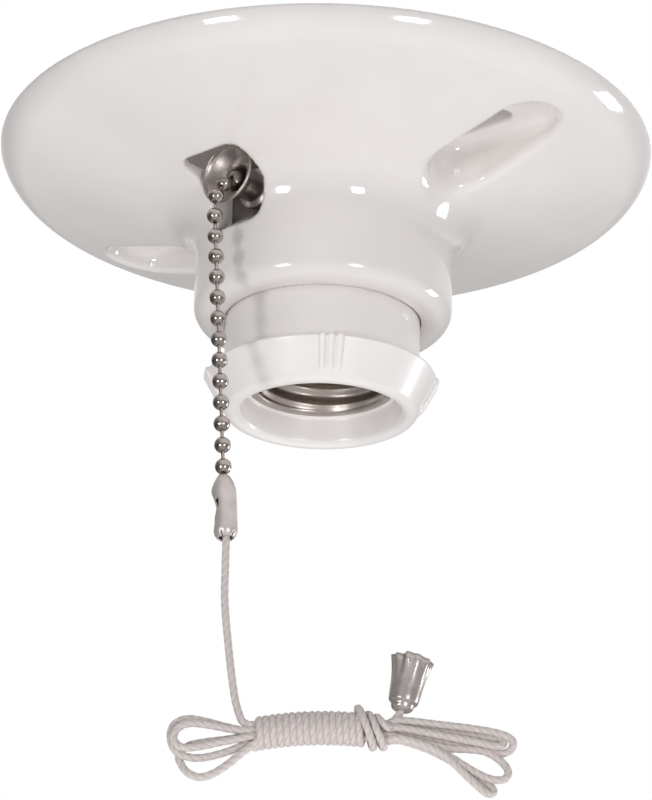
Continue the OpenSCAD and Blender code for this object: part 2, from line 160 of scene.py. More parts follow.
def along_axis(points, start, direction):
    """Points modelled along +Z, moved to start and turned so that +Z runs along direction."""
    z = np.array(direction, float) / np.linalg.norm(direction)
    x = np.cross([0.0, 1.0, 0.0] if abs(z[1]) < 0.9 else [1.0, 0.0, 0.0], z)
    x /= np.linalg.norm(x)
    y = np.cross(z, x)
    return np.asarray(start, float) + points @ np.stack([x, y, z])


def outward(piece):
    """Turns the faces' normals outwards."""
    work = bmesh.new()
    work.from_mesh(piece.data)
    bmesh.ops.recalc_face_normals(work, faces=work.faces)
    work.to_mesh(piece.data)
    work.free()
    return piece


def join(parts):
    """One list of points and faces out of several."""
    points, faces, start = [], [], 0
    for p, f in parts:
        points.append(p)
        faces += [[int(i) + start for i in face] for face in f]
        start += len(p)
    return np.vstack(points), faces


# ---------------------------------------------------------------- materials


class Finish:
    """A material with a Principled shader, and short calls for the nodes it needs."""

    def __init__(self, name, **values):
        self.material = bpy.data.materials.new(name)
        self.material.use_nodes = True
        self.tree = self.material.node_tree
        self.shader = next(n for n in self.tree.nodes if n.type == "BSDF_PRINCIPLED")
        for key, value in values.items():
            self.shader.inputs[key.replace("_", " ")].default_value = value
        self.place = self.tree.nodes.new("ShaderNodeTexCoord").outputs["Object"]

    def node(self, kind, inputs=None, **settings):
        made = self.tree.nodes.new(kind)
        for key, value in settings.items():
            setattr(made, key, value)
        for key, value in (inputs or {}).items():
            if isinstance(value, bpy.types.NodeSocket):
                self.tree.links.new(value, made.inputs[key])
            else:
                made.inputs[key].default_value = value
        return made

    def stretched(self, scale, place=None):
        inputs = {"Vector": place or self.place, "Scale": scale}
        return self.node("ShaderNodeMapping", inputs).outputs["Vector"]

    def noise(self, scale, detail, place=None):
        inputs = {"Vector": place or self.place, "Scale": scale, "Detail": detail}
        return self.node("ShaderNodeTexNoise", inputs).outputs["Fac"]

    def between(self, factor, low, high, start=0.35, end=0.65):
        inputs = {"Value": factor, "From Min": start, "From Max": end, "To Min": low, "To Max": high}
        return self.node("ShaderNodeMapRange", inputs).outputs["Result"]

    def larger(self, first, second):
        made = self.node("ShaderNodeMath", {0: first, 1: second}, operation="MAXIMUM")
        return made.outputs["Value"]

    def colours(self, factor, stops):
        ramp = self.node("ShaderNodeValToRGB", {"Fac": factor})
        while len(ramp.color_ramp.elements) < len(stops):
            ramp.color_ramp.elements.new(0.5)
        for element, (at, colour) in zip(ramp.color_ramp.elements, stops):
            element.position = at
            element.color = (*colour, 1)
        return ramp.outputs["Color"]

    def multiplied(self, first, second):
        """Two colours multiplied: a mix node has its factor at 0 and its colours at 6 and 7."""
        inputs = {0: 1.0, 6: first, 7: second}
        made = self.node("ShaderNodeMix", inputs, data_type="RGBA", blend_type="MULTIPLY")
        return made.outputs[2]

    def bump(self, height, distance, strength, over=None):
        inputs = {"Height": height, "Distance": distance, "Strength": strength}
        if over is not None:
            inputs["Normal"] = over
        return self.node("ShaderNodeBump", inputs).outputs["Normal"]

    def drive(self, **sockets):
        for key, value in sockets.items():
            self.tree.links.new(value, self.shader.inputs[key.replace("_", " ")])
        return self.material


def glazed_porcelain():
    """Warm white glaze with faint specks, a slightly wavy surface and a clear coat."""
    m = Finish("glazed_porcelain", Roughness=0.09, Coat_Weight=0.6, Coat_Roughness=0.03, IOR=1.52)
    tone = m.colours(m.noise(45, 4), [(0.3, (0.76, 0.722, 0.702)), (0.7, (0.805, 0.77, 0.75))])
    specks = m.colours(m.noise(900, 2), [(0.18, (0.8, 0.74, 0.68)), (0.24, (1, 1, 1))])
    waves = m.bump(m.noise(70, 2), 0.0002, 0.35)
    skin = m.bump(m.noise(1400, 3), 0.00001, 0.5, waves)
    rough = m.between(m.noise(160, 4), 0.07, 0.14)
    return m.drive(Base_Color=m.multiplied(tone, specks), Normal=skin, Roughness=rough)


def white_plastic():
    """White moulding with a soft sheen, flow lines along its height and a fine skin."""
    m = Finish("white_plastic", Coat_Weight=0.3, Coat_Roughness=0.12, IOR=1.5)
    tone = m.colours(m.noise(60, 4), [(0.3, (0.83, 0.792, 0.772)), (0.7, (0.87, 0.835, 0.815))])
    flow = m.bump(m.noise(220, 3, m.stretched((1, 1, 0.25))), 0.00005, 0.4)
    skin = m.bump(m.noise(5000, 2), 0.000006, 0.6, flow)
    return m.drive(Base_Color=tone, Normal=skin, Roughness=m.between(m.noise(300, 4), 0.28, 0.38))


def metal(name, dark, light, rough, grain=(1, 1, 1), patches=250, bare=1.0):
    """Bare or plated metal: patches of tarnish, and fine scratches stretched by grain."""
    m = Finish(name, Metallic=bare)
    tone = m.colours(m.noise(patches, 4), [(0.3, dark), (0.7, light)])
    skin = m.bump(m.noise(2500, 3, m.stretched(grain)), 0.00001, 0.5)
    worn = m.between(m.noise(patches * 3, 5), rough[0], rough[1])
    return m.drive(Base_Color=tone, Normal=skin, Roughness=worn)


def dull(name, dark, light, rough):
    """Moulded or pressed insulation: a mottled colour with a fine dusty skin."""
    m = Finish(name)
    tone = m.colours(m.noise(400, 5), [(0.3, dark), (0.7, light)])
    skin = m.bump(m.noise(6000, 3), 0.00003, 0.5)
    rubbed = m.between(m.noise(800, 3), rough[0], rough[1])
    return m.drive(Base_Color=tone, Normal=skin, Roughness=rubbed)


def cotton_cord():
    """Yarn fibres run along the strands, with painted shade in the grooves: the UV map holds the place round
    a strand and along the cord.
    """
    m = Finish("cotton_cord", Roughness=0.85, Sheen_Weight=0.25, Sheen_Roughness=0.5)
    strand = m.node("ShaderNodeUVMap", uv_map="strand").outputs["UV"]
    fibre = m.noise(1.0, 3, m.stretched((26, 1.4, 1), strand))
    fuzz = m.noise(9000, 3)
    groove = m.node("ShaderNodeAttribute", attribute_name="groove").outputs["Fac"]
    tone = m.colours(fibre, [(0.3, (0.55, 0.495, 0.47)), (0.7, (0.78, 0.715, 0.69))])
    # painted shade: the colour is darkened where the surface lies deep in the grooves between strands
    shade = m.colours(groove, [(0.0, (0.82, 0.78, 0.76)), (0.6, (1, 1, 1))])
    skin = m.bump(fibre, 0.00006, 0.8, m.bump(fuzz, 0.00003, 0.6))
    return m.drive(Base_Color=m.multiplied(tone, shade), Normal=skin)


def pale_floor():
    """The studio's floor, far below: a pale grey that shows in views from above."""
    m = Finish("studio_pale", Roughness=0.8, Emission_Color=(1, 1, 1, 1), Emission_Strength=0.4)
    return m.drive(Base_Color=m.colours(m.noise(2, 2), [(0.3, (0.9, 0.9, 0.9)), (0.7, (0.89, 0.89, 0.89))]))


LET_THROUGH = 0.35


def one_sided_board():
    """The ceiling behind the canopy: solid from below, and clear from above so that the inside can be seen.

    The camera sees it whole from below, but it lets this share of all other rays through, so the inside
    isn't black. Its faint glow is painted light that sets how bright it looks through the window and slots.
    """
    # painted light: the board glows faintly, though it is no lamp
    m = Finish("ceiling_board", Roughness=0.9, Emission_Color=(1, 0.93, 0.91, 1), Emission_Strength=0.07)
    tone = m.colours(m.noise(30, 3), [(0.3, (0.6, 0.56, 0.54)), (0.7, (0.7, 0.66, 0.64))])
    m.drive(Base_Color=tone)
    above = m.node("ShaderNodeNewGeometry").outputs["Backfacing"]
    clear = m.node("ShaderNodeBsdfTransparent").outputs["BSDF"]
    seen = m.node("ShaderNodeLightPath").outputs["Is Camera Ray"]
    passed = m.between(seen, LET_THROUGH, 0.0, 0.0, 1.0)
    mix = m.node("ShaderNodeMixShader", {"Fac": m.larger(above, passed)})
    output = next(n for n in m.tree.nodes if n.type == "OUTPUT_MATERIAL")
    m.tree.links.new(m.shader.outputs["BSDF"], mix.inputs[1])
    m.tree.links.new(clear, mix.inputs[2])
    m.tree.links.new(mix.outputs[0], output.inputs["Surface"])
    return m.material


FINISH = {
    "glazed_porcelain": glazed_porcelain(),
    "white_plastic": white_plastic(),
    "shell_metal": metal("shell_metal", (0.54, 0.485, 0.45), (0.7, 0.64, 0.605), (0.3, 0.42), (1, 1, 12)),
    "brass": metal("brass", (0.62, 0.46, 0.22), (0.83, 0.66, 0.36), (0.2, 0.38)),
    "steel": metal("steel", (0.42, 0.39, 0.37), (0.6, 0.57, 0.55), (0.25, 0.42)),
    "dark_steel": metal("dark_steel", (0.2, 0.18, 0.17), (0.36, 0.33, 0.31), (0.32, 0.5), (1, 1, 8)),
    "nickel": metal("nickel", (0.42, 0.37, 0.345), (0.58, 0.53, 0.5), (0.14, 0.24), patches=500),
    "satin_nickel": metal(
        "satin_nickel", (0.6, 0.55, 0.53), (0.75, 0.695, 0.675), (0.3, 0.42), (6, 6, 1), 300, bare=0.6
    ),
    "bell_nickel": metal("bell_nickel", (0.54, 0.49, 0.47), (0.68, 0.625, 0.6), (0.28, 0.4), patches=300),
    "tip_nickel": metal("tip_nickel", (0.5, 0.45, 0.435), (0.68, 0.625, 0.605), (0.24, 0.36), bare=0.75),
    "black_phenolic": dull("black_phenolic", (0.02, 0.018, 0.016), (0.05, 0.045, 0.04), (0.4, 0.6)),
    "fibre": dull("fibre", (0.07, 0.06, 0.052), (0.15, 0.13, 0.11), (0.6, 0.8)),
    "cotton_cord": cotton_cord(),
}
SLOT_OF = {part["node"]: part["material_slot"] for part in frame["record"]["subparts"]}
BODY_OF = {node: body for body, nodes in frame["record"]["behaviour"]["bodies"].items() for node in nodes}


# ---------------------------------------------------------------- camera

CAMERA_AT = (437.4, -512.1, -330.0)
CAMERA_AIM = (0.74, 0.63, -53.8)
CAMERA_ROLL = math.radians(1.05)
LENS = 164.0


def make_camera():
    """The camera of the main view."""
    data = bpy.data.cameras.new("camera")
    data.lens = LENS
    data.sensor_width = 36.0
    data.clip_start = 0.05
    data.clip_end = 50.0
    camera = bpy.data.objects.new("camera", data)
    camera.location = Vector(CAMERA_AT) * MM
    look = Vector(CAMERA_AIM) - Vector(CAMERA_AT)
    camera.rotation_mode = "QUATERNION"
    camera.rotation_quaternion = look.to_track_quat("-Z", "Y") @ Quaternion((0, 0, 1), CAMERA_ROLL)
    bpy.context.scene.collection.objects.link(camera)
    bpy.context.scene.camera = camera


make_camera()


# ---------------------------------------------------------------- cord

CORD_R = 0.75
GROOVE_R = 0.675  # radius at the bottom of the grooves between the strands
STRAND_R = 0.62
STRAND_OFF = 0.13
CORD_SIDES = 18
CORD_STEP = 0.3
CORD_FOOT = np.array([5.6, -33.3, 0.0])
HANK_TURN = math.radians(40)
ALONG = np.array([math.cos(HANK_TURN), math.sin(HANK_TURN), 0.0])
OUT = np.array([math.sin(HANK_TURN), -math.cos(HANK_TURN), 0.0])
WRAP_START = 6.4
WRAP_END = 26
WRAP_TURNS = 16
WRAP_OUT = 2.3  # half width and half height of a turn's middle line
WRAP_UP = 2.5
LAY = 5.2  # one turn of the three strands

# Points of the route: along the hank, out towards its front, and height
RUN = [(0, 0, -92.6), (0, 0, -94.5), (0, 0, -100), (0.1, 0, -107), (1, 0, -115.5), (2.1, 0, -123.5),
       (3.1, 0.2, -128), (4.5, 0.5, -130.6)]
BLUNT_OUTER = [(33, 0.6, -129.6), (40.6, 0.6, -130.3), (46, 0.6, -130.9), (50.5, 0.5, -131.6),
               (53.2, 0.3, -132.5), (53.9, 0, -133.7), (53.1, -0.3, -134.9), (51.5, -0.5, -135.3),
               (49.3, -0.6, -134.8), (45, -0.7, -134), (38.3, -0.7, -132.8), (33, -0.6, -131.7)]
OUTER_LOOP = [(4.4, -0.8, -131.5), (1, -0.9, -130.9), (-2.5, -0.9, -130), (-6, -0.8, -129.5),
              (-8.3, -0.6, -130.4), (-9.2, -0.4, -132.2), (-9, -0.3, -134.3), (-7.9, -0.2, -136.1),
              (-5.5, -0.1, -137.1), (-2.5, -0.1, -137), (1.5, -0.2, -135.8), (4.8, -0.4, -134.3)]
BLUNT_INNER = [(33, -0.6, -130.4), (40.6, -0.6, -131.1), (46, -0.5, -131.8), (49.5, -0.4, -132.4),
               (51.3, -0.2, -132.6), (52.2, 0.1, -133.3), (51.5, 0.4, -134.1), (49.6, 0.5, -134),
               (46, 0.7, -133.3), (40.6, 0.8, -132.4), (33, 0.8, -131.1)]
INNER_LOOP = [(3.6, 0.8, -132), (0.5, 0.9, -131.6), (-2.5, 1, -131.1), (-5.5, 1.1, -130.9),
              (-7.5, 1.1, -131.6), (-8.5, 1, -133), (-8.3, 0.9, -134.5), (-6.8, 0.9, -135.5),
              (-4, 0.9, -135.3), (0, 0.9, -134.4), (3.6, 0.8, -133.6)]
RIGHT_LOOP = [(33, 0.3, -132.8), (38.3, 0.2, -133.9), (42, 0, -134.6), (46, -0.2, -134.7),
              (48.6, -0.3, -135), (50.6, -0.3, -136), (52.2, -0.2, -137.4), (53, 0, -139),
              (52.2, 0.2, -140.4), (50.1, 0.3, -140.5), (47.5, 0.3, -139.5), (44.5, 0.3, -137.7),
              (41.5, 0.2, -135.8), (38.3, 0, -134.5), (33, -0.3, -132.9)]
THIN_LOOP = [(4.6, -1, -132.7), (1, -1.3, -133.2), (-3, -1.6, -133.7), (-5.6, -1.6, -134.3),
             (-7.1, -1.4, -135.4), (-7.6, -1.1, -136.8), (-7.1, -0.8, -138.2), (-5.9, -0.2, -139.9),
             (-3.8, 0.2, -140.9), (-1.3, 0.3, -140.3), (1.7, 0.2, -138.2), (4.4, 0.4, -135.9)]
FORK = [(33, 0.9, -133.1), (36, 0.9, -133.8), (39, 0.9, -134.9), (42, 0.8, -136.8), (45.6, 0.6, -140.2),
        (47.6, 0.4, -142), (48.9, 0.1, -143), (50, -0.1, -143.1), (50.3, -0.4, -142.3), (49.5, -0.7, -141.3),
        (47, -0.9, -139.7), (44, -1, -137.6), (41, -1, -135.9), (37.5, -0.9, -134.3), (33, -0.8, -133)]
LAST_TURNS = [(26.1, -2.6, -131), (25.6, -1.8, -128.6), (25.2, -0.3, -127.2), (25.6, 1.5, -128),
              (26.2, 2.9, -129.8), (26.9, 3.1, -131.6), (27.6, 2.4, -133.3), (28.1, 0.9, -134.4),
              (28, -1.4, -134.2), (27.5, -2.6, -132.1), (27, -2.4, -129.9), (26.9, -0.9, -128.6),
              (27.3, 1.1, -128.7), (28, 2.5, -130.3), (28.8, 2.7, -132.2), (29.6, 1.8, -133.8),
              (30.1, 0.4, -134.6), (29.8, -1.4, -134), (29.1, -2.3, -132), (28.5, -2, -130),
              (28.4, -0.7, -129), (28.8, 1, -129.2), (29.4, 2.1, -130.1), (30.2, 2.3, -131.1),
              (31, 1.7, -131.3), (31.4, 0.9, -130.7)]
WRAP_LEAD = [(7.3, -0.1, -132.3), (7.1, 0.7, -133.1), (6.9, 1.1, -133.9), (6.6, 0.7, -134.7)]
TAIL = [(31.6, 0.1, -129.9), (32.5, 0, -128.8), (33.1, 0, -127.8), (33.3, 0, -127)]
# Places of the eight passes at the wrap's left and right ends: towards the front, and up
ROWS = [1.45, 0.5, -0.45, -1.4]
LEFT = [(0.62, 0), (-0.62, 0), (-0.62, 3), (0.62, 1), (0.62, 2), (-0.62, 2), (0.62, 3), (-0.62, 1)]
RIGHT = [(0.62, 0), (-0.62, 1), (-0.62, 0), (0.62, 1), (0.62, 2), (-0.62, 2), (0.62, 3), (-0.62, 3)]


def wrap_middle(a):
    """Height of the hank's middle line, which is a little arched."""
    return -131.1 - 0.0075 * (a - 20) ** 2


def under_wrap(number):
    """One of the passes under the wrap: the even ones run to the right, the odd ones back."""
    points = []
    for a in (8, 14, 20, 26, 30):
        share = (a - 8) / 22
        out = (1 - share) * LEFT[number][0] + share * RIGHT[number][0]
        up = (1 - share) * ROWS[LEFT[number][1]] + share * ROWS[RIGHT[number][1]]
        points.append((a, out, wrap_middle(a) + up))
    return points if number % 2 == 0 else points[::-1]


def wrap():
    """Turns round the eight passes, behind first and then down the front."""
    points = []
    steps = WRAP_TURNS * 12 + 2
    for i in range(steps + 1):
        a = WRAP_START + (WRAP_END - WRAP_START) * i / steps
        angle = math.radians(-60 - 30 * (i + 1))
        points.append((a, WRAP_OUT * math.cos(angle), wrap_middle(a) + WRAP_UP * math.sin(angle)))
    return points


def cord_route():
    """The cord's middle line: down from the coupling, through the hank, round it, and up to the tip."""
    bends = [BLUNT_OUTER, OUTER_LOOP, BLUNT_INNER, INNER_LOOP, RIGHT_LOOP, THIN_LOOP, FORK]
    route = list(RUN)
    for number, bend in enumerate(bends):
        route += under_wrap(number) + bend
    route += under_wrap(7) + WRAP_LEAD + wrap() + LAST_TURNS + TAIL
    a, out, up = np.array(route, float).T
    line = CORD_FOOT + a[:, None] * ALONG + out[:, None] * OUT + up[:, None] * UP
    return evenly(smooth_line(line, 10), CORD_STEP)


def twisted_tube(line):
    """Rings of a three-strand cord along a line, with the angle on the cord and the grooves' depth for
    painted shade.
    """
    tangent = np.gradient(line, axis=0)
    tangent /= np.linalg.norm(tangent, axis=1)[:, None]
    side = np.cross(tangent[0], UP + [0.3, 0.1, 0])
    side /= np.linalg.norm(side)
    along = np.concatenate([[0], np.cumsum(np.linalg.norm(np.diff(line, axis=0), axis=1))])
    points, uv, groove = [], [], []
    for i, t in enumerate(tangent):
        side = side - t * (side @ t)
        side /= np.linalg.norm(side)
        other = np.cross(t, side)
        turn = 2 * math.pi * along[i] / LAY
        angle = full_turn(CORD_SIDES) + turn
        from_lobe = (angle - turn + math.pi / 3) % (2 * math.pi / 3) - math.pi / 3
        across = STRAND_OFF * np.sin(from_lobe)
        radius = STRAND_OFF * np.cos(from_lobe) + np.sqrt(STRAND_R**2 - across**2)
        ring = np.cos(angle)[:, None] * side + np.sin(angle)[:, None] * other
        points.append(line[i] + radius[:, None] * ring)
        uv.append(np.stack([(angle - turn) / (2 * math.pi), np.full(CORD_SIDES, along[i])], -1))
        groove.append((radius - GROOVE_R) / (CORD_R - GROOVE_R))
    return np.vstack(points), np.vstack(uv), np.concatenate(groove), along[-1]


def make_cord():
    """One twisted cord from the coupling to the tip, with its run, hank and tail in one mesh."""
    line = cord_route()
    points, uv, groove, length = twisted_tube(line)
    faces = [list(f) for f in grid_faces(len(line), CORD_SIDES)]
    last = len(points) - CORD_SIDES
    faces += [list(range(CORD_SIDES))[::-1], list(range(last, len(points)))]
    cord = make_mesh("pull_cord", points, faces, FINISH["cotton_cord"])
    mesh = cord.data
    corners = np.zeros(len(mesh.loops), int)
    mesh.loops.foreach_get("vertex_index", corners)
    mesh.uv_layers.new(name="strand").data.foreach_set("uv", uv[corners].astype(np.float32).ravel())
    # the groove depth lets the cord material paint shade into the grooves
    mesh.attributes.new("groove", "FLOAT", "POINT").data.foreach_set("value", groove.astype(np.float32))
    outward(cord)
    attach(cord, "cord")
    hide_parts("cord_run", "cord_hank", "cord_tail")
    return cord, line, length


TIP_FOOT = CORD_FOOT + 33.2 * ALONG - 127.7 * UP
TIP_LEAN = math.radians(11.5)
FLUTE_DEPTH = 0.85


def make_cord_tip():
    """Flared metal pull on the cord's end: a round foot, a smooth body and a fluted crown."""
    outer = [(0.8, 0.1, 0), (1.5, 0.1, 0.3), (2.05, 0.6, 0.35), (2.15, 1.2, 0.25), (2.3, 1.5, 0.15),
             (2.75, 1.8, 0.25), (2.9, 2.7, 0.4), (3, 4.2, 0.6), (3.15, 5.8, 0.7), (3.5, 8, 0.8), (4, 10, 0)]
    inner = [(3.7, 10, 0), (3.2, 8, 0.8), (2.85, 5.8, 0.7), (2.65, 3.2, 0.6), (2.3, 2, 0.3), (1.6, 1.6, 0.3),
             (0.8, 1.5, 0)]
    depths = [0.5, 1.0, 0.7, 1.2, 0.4, 0.9, 1.3, 0.6, 1.1, 0.8, 0.3]

    def flutes(radius, height, angle):
        share = np.clip((height - 5) / 5, 0, 1) ** 1.7
        number = (angle / (2 * math.pi) * len(depths)) % len(depths)
        depth = np.array(depths)[number.astype(int)]
        wave = np.sin((number % 1) * math.pi) ** 2
        crown = share * (0.45 * np.cos(angle + 0.9) + 0.12 * np.sin(angle * 5))
        return radius * (1 + 0.03 * share) - FLUTE_DEPTH * share * depth * wave, height + crown

    points, faces = lathe(rounded(outer + inner), full_turn(132), flutes)
    points = along_axis(points, TIP_FOOT, math.sin(TIP_LEAN) * ALONG + math.cos(TIP_LEAN) * UP)
    tip = outward(make_mesh("cord_pull", points, faces, FINISH["tip_nickel"]))
    return put(tip, "cord_tip")


cord, cord_line, cord_length = make_cord()
cord_pull = make_cord_tip()


# ---------------------------------------------------------------- porcelain


def soft_max(a, b, r):
    """Intersection of two distance fields with an edge rounded to radius r."""
    return np.minimum(np.maximum(a, b), -r) + np.hypot(np.maximum(a + r, 0), np.maximum(b + r, 0))


def soft_min(a, b, r):
    """Union of two distance fields with a fillet of radius r."""
    return -soft_max(-a, -b, r)


def stadium(x, y, near, far, half):
    """Distance to a flat stadium along +X, between its rounded ends."""
    across = np.clip(x, near + half, far - half)
    return np.hypot(x - across, y) - half


CANOPY_R = 66.7
CANOPY_SLOPE = 0.283
RIM_R = 61.7  # the sloping underside meets the rounded rim at this radius and height
RIM_LOW = -6
BARREL_R = 26.05
BODY_LOW = -37.7
HOLLOW_R = 60.5
HOLLOW_SLOPE = 0.28
CAVITY_R = 22.2
CAVITY_LOW = -26.6
BORE_R = 19.72
RECESS_TOP = -4.5
BODY_STEP = 0.74  # a step of 0.66 gives over 200,000 triangles


def porcelain(p):
    """Signed distance, about, to the glazed body: negative inside."""
    x, y, z = p[..., 0], p[..., 1], p[..., 2]
    r = np.hypot(x, y)
    tilt = math.hypot(1, CANOPY_SLOPE)
    underside = (RIM_LOW - CANOPY_SLOPE * (RIM_R - r) - z) / tilt
    canopy = soft_max(underside, r - CANOPY_R, 5.0)
    barrel = soft_max(r - BARREL_R, BODY_LOW - z, 3.5)
    body = soft_max(soft_min(canopy, barrel, 6.8), z, 0.8)

    roof = (-1.6 - HOLLOW_SLOPE * (58 - r) - z) / math.hypot(1, HOLLOW_SLOPE)
    hollow = soft_max(roof, r - HOLLOW_R, 1.5)
    side = np.abs(x)
    boss = stadium(side, y, 26.1, 61.0, 10.6)
    hollow = soft_max(hollow, -boss, 1.2)
    cavity = soft_max(r - CAVITY_R, CAVITY_LOW - z, 0.3)
    hollow = soft_min(hollow, cavity, 2.0)
    body = soft_max(body, -hollow, 0.9)
    body = soft_max(body, BORE_R - r, 0.9)

    draft = 0.07 * np.clip(RECESS_TOP - z, 0, 12)
    recess = soft_max(stadium(side, y, 29.7, 57.4, 7.0) - draft, z - RECESS_TOP, 2.0)
    body = soft_max(body, -recess, 1.6)
    slot = stadium(side, y, 32.2, 47.2, 2.7)
    body = soft_max(body, -slot, 0.6)
    pocket = soft_max(np.maximum(side - 10.5, -11.6 - z), np.maximum(-35.5 - y, y + 20), 0.8)
    body = soft_max(body, -pocket, 0.5)
    right = np.maximum(x - 7, (x - 4.9 - 0.43 * (z + 22)) / 1.09)
    front = soft_max(np.maximum(right, -7 - x), -24 - z, 1.6)
    window = soft_max(front, np.maximum(-36.4 - y, y + 15), 2.8)
    return soft_max(body, -window, 0.7)


def gradient(field, p):
    """Slope of the field at the points, from small steps both ways along each axis."""
    h = 0.02
    return np.stack([(field(p + h * e) - field(p - h * e)) / (2 * h) for e in np.eye(3)], -1)


def settle(field, p, rounds=2):
    """Moves points onto the field's surface."""
    for _ in range(rounds):
        g = gradient(field, p)
        p = p - np.clip(field(p), -0.5, 0.5)[:, None] * g / np.maximum((g * g).sum(-1), 0.2)[:, None]
    return p


def surface_net(field, low, high, step):
    """Quads of a field's zero surface: one point in each cell it crosses, relaxed and put on the surface."""
    axes = [np.arange(a, b + step, step) for a, b in zip(low, high)]
    grid = np.stack(np.meshgrid(*axes, indexing="ij"), -1)
    inside = np.concatenate([field(grid[i : i + 20]) for i in range(0, len(grid), 20)]) < 0
    corners = sum(
        inside[i : len(axes[0]) - 1 + i, j : len(axes[1]) - 1 + j, k : len(axes[2]) - 1 + k].astype(int)
        for i in (0, 1) for j in (0, 1) for k in (0, 1)
    )
    cells = (corners > 0) & (corners < 8)
    number = np.full(cells.shape, -1)
    number[cells] = np.arange(cells.sum())
    points = grid[:-1, :-1, :-1][cells] + step / 2
    faces = []
    for axis in range(3):
        a = np.moveaxis(inside, axis, 0)
        n = np.moveaxis(number, axis, 0)
        crossing = a[:-1, 1:-1, 1:-1] != a[1:, 1:-1, 1:-1]
        out = a[:-1, 1:-1, 1:-1][crossing]
        quad = np.stack([n[:, :-1, :-1][crossing], n[:, 1:, :-1][crossing], n[:, 1:, 1:][crossing],
                         n[:, :-1, 1:][crossing]], -1)
        flip = out if axis != 1 else ~out
        faces.append(np.where(flip[:, None], quad, quad[:, ::-1]))
    faces = np.vstack(faces)
    points = settle(field, points)
    ends = np.vstack([faces[:, [i, (i + 1) % 4]] for i in range(4)])
    ends = np.vstack([ends, ends[:, ::-1]])
    count = np.bincount(ends[:, 0], minlength=len(points))[:, None]
    for _ in range(4):
        near = points[ends[:, 1]]
        mean = np.stack([np.bincount(ends[:, 0], near[:, k], len(points)) for k in range(3)], -1) / count
        points = settle(field, 0.4 * points + 0.6 * mean, 1)
    return settle(field, points), faces


def make_porcelain():
    """The glazed canopy with its barrel, recesses, slots and chain window."""
    points, faces = surface_net(porcelain, (-67.5, -67.5, -38.5), (67.5, 67.5, 0.9), BODY_STEP)
    body = make_mesh("porcelain_canopy", points, faces, FINISH["glazed_porcelain"])
    return put(outward(body), "porcelain_body")


make_porcelain()


# ---------------------------------------------------------------- socket

RIB_GROUPS = (45, 135, 225, 315)
RIB_ANGLES = [math.radians(middle + side) for middle in RIB_GROUPS for side in (-4.4, 0, 4.4)]
RIB_HEIGHT = 0.65
RIB_HALF_WIDTH = 0.7


def make_socket_body():
    """Neck, flared ring and lip of the insulating body, with groups of three ribs on the ring."""
    outline = rounded([
        (14.6, -30, 0.2), (14.6, -51.4, 0.3), (15.1, -51.9, 0.3), (16.1, -56.4, 0.5), (16.9, -57.3, 0.5),
        (18.2, -57.3, 0.5), (19.2, -56.7, 0.4), (23, -49.5, 0.2), (22.7, -49.02, 0.2), (19.6, -49, 0.4),
        (19.6, -26.6, 0.3), (22, -26.6, 0.2), (22, -23.6, 0.3), (1.2, -23.6, 0.2), (1.2, -30, 0.2),
    ])
    outline = np.vstack([outline, outline[:1]])
    dense = np.vstack([
        np.linspace(p, q, max(1, int(np.linalg.norm(q - p) / 0.7)), endpoint=False)
        for p, q in zip(outline[:-1], outline[1:])
    ])
    angles = set(np.round(np.radians(np.arange(0, 360, 2.0)), 5))
    for middle in RIB_GROUPS:
        angles |= set(np.round(np.radians(middle + np.arange(-8, 8.01, 0.25)), 5))

    def ribs(radius, height, angle):
        raised = np.zeros_like(radius)
        for centre in RIB_ANGLES:
            away = np.clip(np.abs(angle - centre) * 22 / RIB_HALF_WIDTH, 0, 1)
            raised = np.maximum(raised, np.sqrt(1 - away**2))
        reach = np.clip((height + 57) / 0.6, 0, 1) * np.clip((radius - 19.65) / 0.5, 0, 1)
        top = np.clip((height + 49.3) / 0.2, 0, 1)
        return radius + RIB_HEIGHT * raised * reach, height + 0.35 * raised * reach * top

    points, faces = lathe(dense, np.array(sorted(angles)), ribs)
    return put(outward(make_mesh("socket_insulator", points, faces, FINISH["white_plastic"])), "socket_body")


def make_screw_shell():
    """Threaded shell: its wall follows the lamp thread, and its mouth is rolled outwards."""
    pitch, low, high = 3.63, -51.0, -31.0
    wave, middle, wall = 0.42, 13.28, 0.32
    heights = np.arange(low, high + 0.01, pitch / 16)
    outside = [(middle, h) for h in heights]
    inside = [(middle - wall, h) for h in heights[::-1]]
    mouth = [(13.3, -51.3), (13.7, -51.55), (14.2, -51.62), (14.42, -51.4), (14.3, -51.12), (13.8, -51.05)]
    top = [(12.6, -30.6), (11.9, -30.25), (9, -30.1), (6, -30.1), (6, -30.4), (9, -30.42), (11.7, -30.55),
           (12.3, -30.9)]
    outline = np.array([*mouth, *outside, *top, *inside])

    def thread(radius, height, angle):
        on_wall = np.clip((height - low + 0.4) / 1.6, 0, 1) * np.clip((high + 0.6 - height) / 1.6, 0, 1)
        on_wall *= (radius > 12.9) & (radius < 13.5)
        phase = 2 * math.pi * (height - low) / pitch - angle
        return radius - wave * on_wall * np.cos(phase), height

    points, faces = lathe(outline, full_turn(180), thread)
    return put(outward(make_mesh("screw_shell_thread", points, faces, FINISH["shell_metal"])), "screw_shell")


make_socket_body()
make_screw_shell()


# ---------------------------------------------------------------- bell mouth

BELL_Z = -15.0


